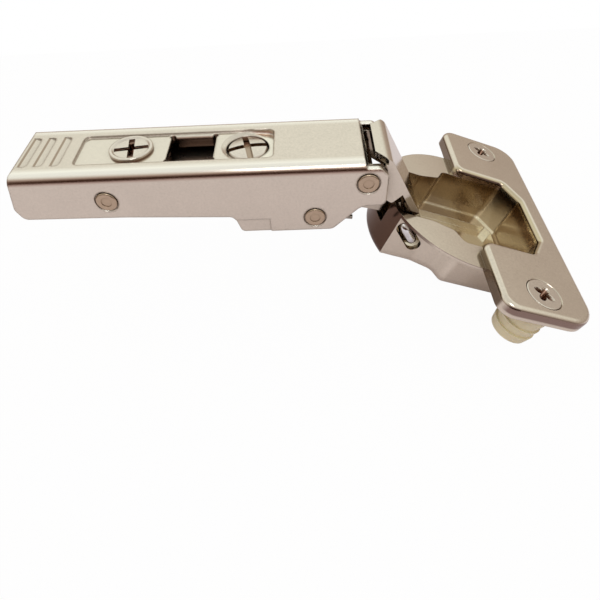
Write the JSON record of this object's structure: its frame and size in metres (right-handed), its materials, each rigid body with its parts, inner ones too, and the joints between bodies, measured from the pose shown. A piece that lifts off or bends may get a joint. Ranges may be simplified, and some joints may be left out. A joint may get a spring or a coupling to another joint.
{
  "type": "concealed cup hinge",
  "caption": "Concealed cabinet hinge: folded steel arm with adjusting screws, curved links, and a round cup with a screw-on flange and press-in dowels, standing fully open.",
  "frame": {"origin": "middle of the hook pin that hangs the hinge on its mounting plate", "axes": "+X from the arm to the cup, +Y across the hinge, +Z away from the cabinet side"},
  "size_m": [0.104, 0.0556, 0.0323],
  "materials": {
    "arm_nickel": "bright nickel",
    "cup_nickel": "bright nickel",
    "link_nickel": "polished nickel",
    "pin_steel": "bright steel",
    "screw_nickel": "satin nickel",
    "inner_plate": "zinc plated",
    "spring_steel": "drawn wire",
    "dowel_plastic": "ivory plastic"
  },
  "bodies": {
    "carrier": {"carrier_arm": "inner_plate", "front_hook_pin": "pin_steel", "clip_lever_pin": "pin_steel", "clip_spring": "spring_steel"},
    "clip_lever": {"clip_lever": "inner_plate"},
    "guide": {"guide_pin": "pin_steel"},
    "arm": {"outer_arm": "arm_nickel", "outer_link_rivet": "pin_steel", "inner_link_rivet": "pin_steel", "closing_spring_near": "spring_steel", "closing_spring_far": "spring_steel"},
    "depth_cam": {"depth_cam_screw": "screw_nickel"},
    "side_screw": {"side_adjust_screw": "screw_nickel"},
    "inner_link": {"inner_link": "link_nickel"},
    "cup": {"hinge_cup": "cup_nickel", "cup_axle_staple": "pin_steel", "cup_screw_near": "screw_nickel", "cup_screw_far": "screw_nickel", "dowel_near": "dowel_plastic", "dowel_far": "dowel_plastic"},
    "outer_link": {"outer_link": "link_nickel"}
  },
  "joints": [
    {"name": "clip_release", "type": "hinge", "parent": "carrier", "child": "clip_lever", "pos_m": [-0.037, 0, 0.0052], "axis": [0, 1, 0], "range_deg": [0, 15], "stiffness_Nm_per_rad": 0.02, "springref_deg": -11.46, "deforming": ["clip_spring"]},
    {"name": "depth_adjust", "type": "slide", "parent": "carrier", "child": "guide", "axis": [1, 0, 0], "range_m": [-0.002, 0.003]},
    {"name": "side_adjust", "type": "hinge", "parent": "guide", "child": "arm", "pos_m": [-0.0274, 0, 0.0061], "axis": [0, 1, 0], "range_deg": [-1.8, 1.8]},
    {"name": "depth_cam_turn", "type": "hinge", "parent": "arm", "child": "depth_cam", "pos_m": [-0.023, 0, 0.0105], "axis": [0, 0, 1], "range_deg": [-144.05, 216.05]},
    {"name": "side_screw_turn", "type": "hinge", "parent": "guide", "child": "side_screw", "pos_m": [-0.0017, 0, 0.0085], "axis": [0, 0, 1], "range_deg": [-360.05, 360.05]},
    {"name": "inner_link_fold", "type": "hinge", "parent": "arm", "child": "inner_link", "pos_m": [0.0102, 0, 0.00075], "axis": [0, 1, 0], "range_deg": [-0.05, 40.22], "deforming": ["closing_spring_near", "closing_spring_far"]},
    {"name": "cup_fold", "type": "hinge", "parent": "inner_link", "child": "cup", "pos_m": [0.02712, 0, -0.00262], "axis": [0, 1, 0], "range_deg": [-151.5, 0.3]},
    {"name": "outer_link_fold", "type": "hinge", "parent": "cup", "child": "outer_link", "pos_m": [0.02937, 0, -0.00681], "axis": [0, 1, 0], "range_deg": [-0.3, 130.5]}
  ],
  "couplings": [
    {"joint": "depth_cam_turn", "follows": "depth_adjust", "rad_per_m": 1256.6},
    {"joint": "side_screw_turn", "follows": "side_adjust", "ratio": 200},
    {"joint": "cup_fold", "follows": "inner_link_fold", "ratio": -3.7593},
    {"joint": "outer_link_fold", "follows": "inner_link_fold", "ratio": 3.2359}
  ]
}
